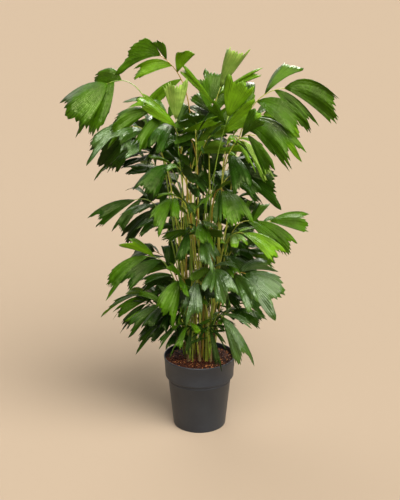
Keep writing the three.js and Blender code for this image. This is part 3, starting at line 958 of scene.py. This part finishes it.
def spears(material):
    """The young spears that find room between the canes and fronds."""
    surfaces = []
    for number in range(SPEARS):
        surface = spear_surface(number)
        shape = rough_tube(surface, ROUGH_SPEAR_GRID, "spear")
        if has_room(shape, None):
            placed.append(shape)
            surfaces.append(surface)
    tubes("young_spears", "spear", SPEAR_GRID, surfaces, material)


def pot(material):
    """The pot, spun from its wall's profile, with a small round at each edge."""
    lip_bottom = POT_HEIGHT - LIP_DEPTH
    under_lip = RIM_RADIUS - LIP_WIDTH - 0.0004
    profile = [
        (0, 0),
        (FOOT_RADIUS - 0.0025, 0),
        (FOOT_RADIUS - 0.0009, 0.0006),
        (FOOT_RADIUS, 0.003),
        (SHOULDER_RADIUS - 0.0011, BEAD_HEIGHT - BEAD),
        (SHOULDER_RADIUS - 0.0009 + BEAD, BEAD_HEIGHT),
        (SHOULDER_RADIUS - 0.0007, BEAD_HEIGHT + BEAD),
        (SHOULDER_RADIUS - 0.0004, BAND_BOTTOM - 0.0055),
        (SHOULDER_RADIUS + 0.0004, BAND_BOTTOM - 0.0036),
        (BAND_RADIUS - 0.0022, BAND_BOTTOM - 0.0008),
        (BAND_RADIUS - 0.0006, BAND_BOTTOM + 0.0003),
        (BAND_RADIUS, BAND_BOTTOM + 0.002),
        (BAND_RADIUS + 0.0001, BAND_BOTTOM + 0.005),
        (RIM_RADIUS - 0.0016, lip_bottom - 0.0015),
        (RIM_RADIUS - 0.0003, lip_bottom - 0.0002),
        (RIM_RADIUS, lip_bottom + 0.001),
        (RIM_RADIUS, POT_HEIGHT - 0.0012),
        (RIM_RADIUS - 0.0005, POT_HEIGHT - 0.0003),
        (RIM_RADIUS - 0.0014, POT_HEIGHT),
        (RIM_RADIUS - LIP_WIDTH + 0.0006, POT_HEIGHT),
        (RIM_RADIUS - LIP_WIDTH, POT_HEIGHT - 0.0008),
        (under_lip, lip_bottom),
        (BAND_RADIUS - POT_WALL, BAND_BOTTOM + 0.004),
        (SHOULDER_RADIUS - POT_WALL, BAND_BOTTOM - 0.002),
        (FOOT_RADIUS - POT_WALL, POT_FLOOR),
        (0, POT_FLOOR),
    ]
    mesh = bmesh.new()
    verts = [mesh.verts.new((radius, 0, height)) for radius, height in profile]
    edges = [mesh.edges.new(pair) for pair in zip(verts, verts[1:])]
    full_turn = {"cent": (0, 0, 0), "axis": (0, 0, 1), "angle": math.tau, "use_merge": True}
    bmesh.ops.spin(mesh, geom=verts + edges, steps=POT_SEGMENTS, **full_turn)
    bmesh.ops.remove_doubles(mesh, verts=mesh.verts, dist=WELD)
    bmesh.ops.recalc_face_normals(mesh, faces=mesh.faces)
    finished("moulded_pot", mesh, [material], ["pot"])


def chips(name, count, seed, material):
    """Bark chips lying over the mix: flat broken pieces, each a tapered block."""
    draw = random.Random(seed)
    mesh = bmesh.new()
    feet = [outward(foot[0]) * foot[1] * MM for foot, _ in SHOOTS]
    for _ in range(count):
        angle = draw.uniform(0, math.tau)
        radius = MIX_RADIUS * math.sqrt(draw.random())
        length = draw.uniform(*CHIP_LENGTHS)
        size = Vector((length, length * draw.uniform(*CHIP_WIDTHS), draw.uniform(*CHIP_THICKNESSES)))
        x, y = radius * math.cos(angle), radius * math.sin(angle)
        near = min(math.hypot(x - foot.x, y - foot.y) for foot in feet)
        heap = HEAP_HEIGHT * math.exp(-near / HEAP_REACH) + HEAP_ROUGHNESS * draw.random()
        turn = Quaternion((0, 0, 1), draw.uniform(0, math.tau))
        tip = Quaternion((1, 0, 0), draw.gauss(0, CHIP_TILT))
        tip = tip @ Quaternion((0, 1, 0), draw.gauss(0, CHIP_TILT))
        place = Matrix.Translation((x, y, SOIL_LEVEL * MM + heap)) @ (turn @ tip).to_matrix().to_4x4()
        made = bmesh.ops.create_cube(mesh, size=1)
        for vert in made["verts"]:
            shape = Vector(a * b * draw.uniform(*CHIP_BREAKAGE) for a, b in zip(vert.co, size))
            vert.co = place @ shape
    finished(name, mesh, [material], [], smooth=False)


# Materials


def linear(hex_colour):
    """An sRGB hex value as linear red, green and blue, with full alpha."""
    channels = [(hex_colour >> shift & 255) / 255 for shift in (16, 8, 0)]
    return (*[c / 12.92 if c <= 0.04045 else ((c + 0.055) / 1.055) ** 2.4 for c in channels], 1)


def per_metre(millimetres):
    """The scale at which a pattern repeats about once in that many millimetres."""
    return 1000 / millimetres


def set_inputs(tree, node, inputs):
    """Gives a node's inputs their values, or the outputs that they are linked to."""
    for name, value in inputs.items():
        if isinstance(value, bpy.types.NodeSocket):
            tree.links.new(value, node.inputs[name])
        else:
            node.inputs[name].default_value = value


def add_node(tree, kind, inputs=None, stops=(), **settings):
    """Adds a node with its settings and inputs. A ramp's stops are each a place and an sRGB colour."""
    made = tree.nodes.new(kind)
    for name, value in settings.items():
        setattr(made, name, value)
    set_inputs(tree, made, inputs or {})
    for number, (position, hex_colour) in enumerate(stops):
        if number == len(made.color_ramp.elements):
            made.color_ramp.elements.new(position)
        element = made.color_ramp.elements[number]
        element.position = position
        element.color = linear(hex_colour)
    return made


def blank_material(name):
    """A material, its tree, its shader linked to its output, and the coordinates on its surface."""
    material = bpy.data.materials.new(name)
    material.use_nodes = True
    tree = material.node_tree
    tree.nodes.clear()
    shader = add_node(tree, "ShaderNodeBsdfPrincipled")
    add_node(tree, "ShaderNodeOutputMaterial", {"Surface": shader.outputs["BSDF"]})
    place = add_node(tree, "ShaderNodeTexCoord").outputs
    return material, tree, shader, place


def leaf_material(name, dark, light, vein, roughness, gloss, gloss_tint):
    """Living palm leaf under its waxy cuticle: fine veins and silky streaks that run out from the root."""
    material, tree, shader, place = blank_material(name)
    patch = add_node(
        tree, "ShaderNodeTexNoise", {"Vector": place["Object"], "Scale": per_metre(60), "Detail": 2.0}
    )
    veins = add_node(
        tree,
        "ShaderNodeTexWave",
        {"Vector": place["UV"], "Scale": 7.0, "Distortion": 0.5, "Detail": 1.0},
        bands_direction="X",
    )
    long = add_node(tree, "ShaderNodeMapping", {"Vector": place["UV"], "Scale": (34.0, 1.6, 1.0)})
    streaks = add_node(tree, "ShaderNodeTexNoise", {"Vector": long.outputs[0], "Scale": 1.0, "Detail": 3.0})
    both = add_node(
        tree, "ShaderNodeMath", {0: patch.outputs["Fac"], 1: streaks.outputs["Fac"]}, operation="ADD"
    )
    half = add_node(tree, "ShaderNodeMath", {0: both.outputs[0], 1: 0.5}, operation="MULTIPLY")
    stops = [(0.42, dark), (0.58, light)]
    ground = add_node(tree, "ShaderNodeValToRGB", {"Fac": half.outputs[0]}, stops)
    fade = add_node(tree, "ShaderNodeMath", {0: veins.outputs["Fac"], 1: 0.35}, operation="MULTIPLY")
    # A mix of colours has them at its inputs 6 and 7, and its result at output 2
    colours = {6: ground.outputs["Color"], 7: linear(vein)}
    mixed = add_node(tree, "ShaderNodeMix", {0: fade.outputs[0], **colours}, data_type="RGBA")
    between = {"To Min": roughness - SILKIER, "To Max": roughness + ROUGHER}
    middle = {"Value": streaks.outputs["Fac"], "From Min": 0.3, "From Max": 0.7}
    silk = add_node(tree, "ShaderNodeMapRange", {**middle, **between})
    blisters = add_node(
        tree, "ShaderNodeTexNoise", {"Vector": place["Object"], "Scale": per_metre(16), "Detail": 2.0}
    )
    uneven = add_node(
        tree, "ShaderNodeBump", {"Height": blisters.outputs["Fac"], "Strength": 0.5, "Distance": 0.006}
    )
    ridges = add_node(
        tree, "ShaderNodeMath", {0: veins.outputs["Fac"], 1: streaks.outputs["Fac"]}, operation="ADD"
    )
    height = {"Height": ridges.outputs[0], "Strength": 0.5, "Distance": 0.0008}
    relief = add_node(tree, "ShaderNodeBump", {**height, "Normal": uneven.outputs["Normal"]})
    finish = {
        "Base Color": mixed.outputs[2],
        "Roughness": silk.outputs[0],
        "Normal": relief.outputs["Normal"],
        "IOR": 1.5,
        "Specular IOR Level": gloss,
        "Specular Tint": linear(gloss_tint),
    }
    set_inputs(tree, shader, finish)
    return material


def petiole_material(name, dark, light):
    """Smooth green stalk skin: satin, with faint long streaks."""
    material, tree, shader, place = blank_material(name)
    long = add_node(tree, "ShaderNodeMapping", {"Vector": place["Object"], "Scale": (1.0, 1.0, 0.06)})
    streaks = add_node(
        tree, "ShaderNodeTexNoise", {"Vector": long.outputs[0], "Scale": per_metre(6), "Detail": 3.0}
    )
    stops = [(0.3, dark), (0.7, light)]
    colour = add_node(tree, "ShaderNodeValToRGB", {"Fac": streaks.outputs["Fac"]}, stops)
    set_inputs(tree, shader, {"Base Color": colour.outputs["Color"], "Roughness": 0.42, "IOR": 1.45})
    return material


def fibre_material(name, dark, middle, light):
    """Dry leaf sheath: matt brown fibre in long upright strands, greener where it is young."""
    material, tree, shader, place = blank_material(name)
    long = add_node(tree, "ShaderNodeMapping", {"Vector": place["Object"], "Scale": (1.0, 1.0, 0.05)})
    fibre = add_node(
        tree, "ShaderNodeTexNoise", {"Vector": long.outputs[0], "Scale": per_metre(2.5), "Detail": 4.0}
    )
    patch = add_node(
        tree, "ShaderNodeTexNoise", {"Vector": place["Object"], "Scale": per_metre(45), "Detail": 2.0}
    )
    both = add_node(
        tree, "ShaderNodeMath", {0: fibre.outputs["Fac"], 1: patch.outputs["Fac"]}, operation="ADD"
    )
    half = add_node(tree, "ShaderNodeMath", {0: both.outputs[0], 1: 0.5}, operation="MULTIPLY")
    stops = [(0.38, dark), (0.5, middle), (0.62, light)]
    colour = add_node(tree, "ShaderNodeValToRGB", {"Fac": half.outputs[0]}, stops)
    relief = add_node(
        tree, "ShaderNodeBump", {"Height": fibre.outputs["Fac"], "Strength": 0.6, "Distance": 0.0008}
    )
    finish = {"Base Color": colour.outputs["Color"], "Normal": relief.outputs["Normal"], "Roughness": 0.75}
    set_inputs(tree, shader, finish)
    return material


def polypropylene_material():
    """Injection-moulded polypropylene with a fine grain from its mould: charcoal and almost matt."""
    material, tree, shader, place = blank_material("moulded_polypropylene_charcoal")
    grain = add_node(
        tree, "ShaderNodeTexNoise", {"Vector": place["Object"], "Scale": per_metre(0.9), "Detail": 2.0}
    )
    cloud = add_node(
        tree, "ShaderNodeTexNoise", {"Vector": place["Object"], "Scale": per_metre(60), "Detail": 3.0}
    )
    stops = [(0.3, 0x232A35), (0.7, 0x2C343E)]
    colour = add_node(tree, "ShaderNodeValToRGB", {"Fac": cloud.outputs["Fac"]}, stops)
    relief = add_node(
        tree, "ShaderNodeBump", {"Height": grain.outputs["Fac"], "Strength": 0.35, "Distance": 0.0002}
    )
    finish = {
        "Base Color": colour.outputs["Color"],
        "Normal": relief.outputs["Normal"],
        "Roughness": 0.48,
        "IOR": 1.49,
    }
    set_inputs(tree, shader, finish)
    return material


def crumbly_material(name, detail, stops, depth, strength, roughness):
    """What bark and peat have in common: 4 mm patches of dark and light that stand out, and no gloss."""
    material, tree, shader, place = blank_material(name)
    patch = add_node(
        tree, "ShaderNodeTexNoise", {"Vector": place["Object"], "Scale": per_metre(4), "Detail": detail}
    )
    colour = add_node(tree, "ShaderNodeValToRGB", {"Fac": patch.outputs["Fac"]}, stops)
    relief = add_node(
        tree, "ShaderNodeBump", {"Height": patch.outputs["Fac"], "Strength": strength, "Distance": depth}
    )
    finish = {
        "Base Color": colour.outputs["Color"],
        "Normal": relief.outputs["Normal"],
        "Roughness": roughness,
        "Specular IOR Level": 0.2,
    }
    set_inputs(tree, shader, finish)
    return material


def bark_material(name, dark, light):
    """Broken pine bark: matt, with its layers showing as sharp patches of dark and light."""
    return crumbly_material(name, 4.0, [(0.4, dark), (0.62, light)], 0.001, 0.7, 0.8)


def peat_material():
    """Damp peat between the chips: dark brown, fully matt, and rough with crumbs."""
    return crumbly_material("damp_peat", 6.0, [(0.3, 0x22120B), (0.7, 0x48291A)], 0.003, 1.0, 0.9)


def floor_material():
    """Pale warm plaster floor: fully matt, so that it meets the backdrop unseen."""
    material, tree, shader, _ = blank_material("studio_floor")
    finish = {"Base Color": linear(0xBBAB98), "Roughness": 1.0, "Specular IOR Level": 0.0}
    set_inputs(tree, shader, finish)
    return material


# Top and underside of each tint: dark patch, light patch and vein. From old to lime the tints also go from
# painted shade to painted light.
LEAF_TINTS = {
    "old": ((0x071901, 0x112E01, 0x214507), (0x20400A, 0x2C4E10, 0x3C5E1C)),
    "deep": ((0x0C2301, 0x214904, 0x35600A), (0x2E520C, 0x3E6414, 0x4E7422)),
    "mid": ((0x203F02, 0x406C05, 0x568212), (0x446612, 0x567A1A, 0x688A28)),
    "bright": ((0x406803, 0x6A9E10, 0x84B226), (0x527A12, 0x66901E, 0x78A02E)),
    "lime": ((0x668F28, 0x9EC256, 0xBAD87A), (0x7C983A, 0x98B250, 0xAEC66C)),
    "silver": ((0x1D3905, 0x3C6212, 0x568030), (0x34520C, 0x446416, 0x547424)),
}

# Roughness, strength and tint of the wax's gloss, and how far its streaks are silkier and rougher
SILVER_WAX = (0.3, 0.75, 0xE6F4DC)
GREEN_WAX = (0.34, 0.32, 0xCCE090)
UNDERSIDE_WAX = (0.5, 0.2, 0xC4DC94)
SILKIER = 0.08
ROUGHER = 0.12

# Dark and light streaks of each tint of stalk. The range of the draw leaves few stalks the last one.
STALK_TINTS = {
    "green": (0x648E26, 0xA0C044),
    "yellow": (0xA0AC38, 0xC8CE58),
    "ochre": (0x907628, 0xC09C3C),
}
STALK_TINT_RANGE = 2.4


# The studio


def light(kind, name, aim, energy, colour):
    """A light that shines along a direction."""
    data = bpy.data.lights.new(name, kind)
    data.energy = energy
    data.color = linear(colour)[:3]
    lamp = put(name, data)
    lamp.rotation_euler = Vector(aim).to_track_quat("-Z", "Y").to_euler()
    return lamp


def area_light(name, place, size, watts, colour, only_gloss=False):
    """A round soft light on the middle of the palm. One for gloss alone leaves the floor even."""
    lamp = light("AREA", name, Vector(MIDDLE_OF_PALM) - Vector(place), watts, colour)
    lamp.data.shape = "DISK"
    lamp.data.size = size
    lamp.location = place
    lamp.visible_diffuse = not only_gloss


def sun_light(name, direction, energy, angle, colour):
    """A wide soft light that is the same all over the floor."""
    lamp = light("SUN", name, direction, energy, colour)
    lamp.data.angle = math.radians(angle)


def studio():
    """A pale floor, soft lights, and the camera where the photograph was taken from."""
    mesh = bmesh.new()
    bmesh.ops.create_grid(mesh, x_segments=1, y_segments=1, size=FLOOR_REACH)
    data = bpy.data.meshes.new("studio_floor")
    mesh.to_mesh(data)
    mesh.free()
    data.materials.append(floor_material())
    floor = put("studio_floor", data)

    world = bpy.data.worlds.new("studio")
    world.use_nodes = True
    tree = world.node_tree
    seen = add_node(tree, "ShaderNodeLightPath").outputs["Is Camera Ray"]
    strength = add_node(tree, "ShaderNodeMapRange", {"Value": seen, "To Min": SKY_LIGHT, "To Max": SKY_SEEN})
    sky = {"Color": linear(0xFFE2C0), "Strength": strength.outputs[0]}
    set_inputs(tree, tree.nodes["Background"], sky)
    bpy.context.scene.world = world

    sun_light("key", (-1.4, 2.3, -3.2), 5.1, 60, 0xFFF7EC)
    sun_light("back_fill", (1.0, -2.2, -1.8), 1.1, 60, 0xFFFAF4)

    area_light("fill", (-2.2, -2.4, 1.5), 2.2, 4, 0xFFFAF4)
    area_light("sheen_above", (0.5, 1.6, 2.7), 1.6, 200, 0xFFFCF8, only_gloss=True)
    area_light("sheen_before", (-0.9, -1.6, 3.0), 1.2, 125, 0xFFFCF8, only_gloss=True)

    lens = bpy.data.cameras.new("camera")
    lens.lens = CAMERA_LENS
    lens.sensor_width = CAMERA_SENSOR
    camera = put("camera", lens)
    camera.location = CAMERA_PLACE
    camera.rotation_euler.x = math.radians(CAMERA_TILT)
    bpy.context.scene.camera = camera
    bpy.context.scene.view_settings.view_transform = "Standard"


# The palm and its pot


fronds = table_fronds()
for foot, _ in SHOOTS:
    placed.append(rough_tube(cane_surface(foot), ROUGH_CANE_GRID, f"cane {foot}"))
for frond in fronds:
    find_frond(frond)
    frond.owner = f"stalk {frond.shoot, frond.order}"
    placed.append(rough_tube(stalk_surface(frond.path), ROUGH_STALK_GRID, frond.owner))
for frond in fronds:
    settle_leaflets(frond)
spears(petiole_material("rolled_young_leaf", 0x6C8626, 0xA8B242))
companions = [grown for frond in fronds if (grown := companion(frond))]
# The companions take turns, from the leaflets at their tips inwards
for number in range(max(frond.pairs for frond in companions) * 2, -1, -1):
    for frond in companions:
        if number <= frond.pairs * 2:
            grow_leaflets(frond, number)
everything = fronds + companions

for tint, (top, under) in LEAF_TINTS.items():
    wax = SILVER_WAX if tint == "silver" else GREEN_WAX
    finishes = [
        leaf_material(f"waxy_leaf_{tint}", *top, *wax),
        leaf_material(f"leaf_underside_{tint}", *under, *UNDERSIDE_WAX),
    ]
    grown = [(frond, plan) for frond in everything for plan in frond.plans if leaf_tint(frond, plan) == tint]
    for first in range(0, len(grown), LEAFLETS_PER_PIECE):
        number = first // LEAFLETS_PER_PIECE + 1
        leaflets(f"leaflets_{tint}_{number}", grown[first : first + LEAFLETS_PER_PIECE], finishes)

stalk_tints = [math.floor(STALK_TINT_RANGE * chance(frond.shoot, frond.order, 9)) for frond in everything]
for number, (tint, colours) in enumerate(STALK_TINTS.items()):
    chosen = [frond for frond, drawn in zip(everything, stalk_tints) if drawn == number]
    stalks(f"stalks_{tint}", chosen, petiole_material(f"stalk_skin_{tint}", *colours))

canes(fibre_material("dry_cane_fibre", 0x1E170B, 0x6E642C, 0xB0A04C))
old = [frond for frond in everything if frond.order < 2]
young = [frond for frond in everything if frond.order >= 2]
sheaths("old_leaf_sheaths", old, fibre_material("old_sheath_fibre", 0x33281A, 0x6E5838, 0xA08A58))
sheaths("young_leaf_sheaths", young, fibre_material("young_sheath_fibre", 0x525024, 0x7E7E34, 0xA3A04C))

pot(polypropylene_material())
frame["nodes"]["potting_mix"].data.materials.clear()
frame["nodes"]["potting_mix"].data.materials.append(peat_material())
chips("bark_chips", CHIPS_DARK, 11, bark_material("composted_bark", 0x160A05, 0x643420))
chips("fresh_bark_chips", CHIPS_FRESH, 12, bark_material("fresh_bark", 0x804A26, 0xD89058))

studio()
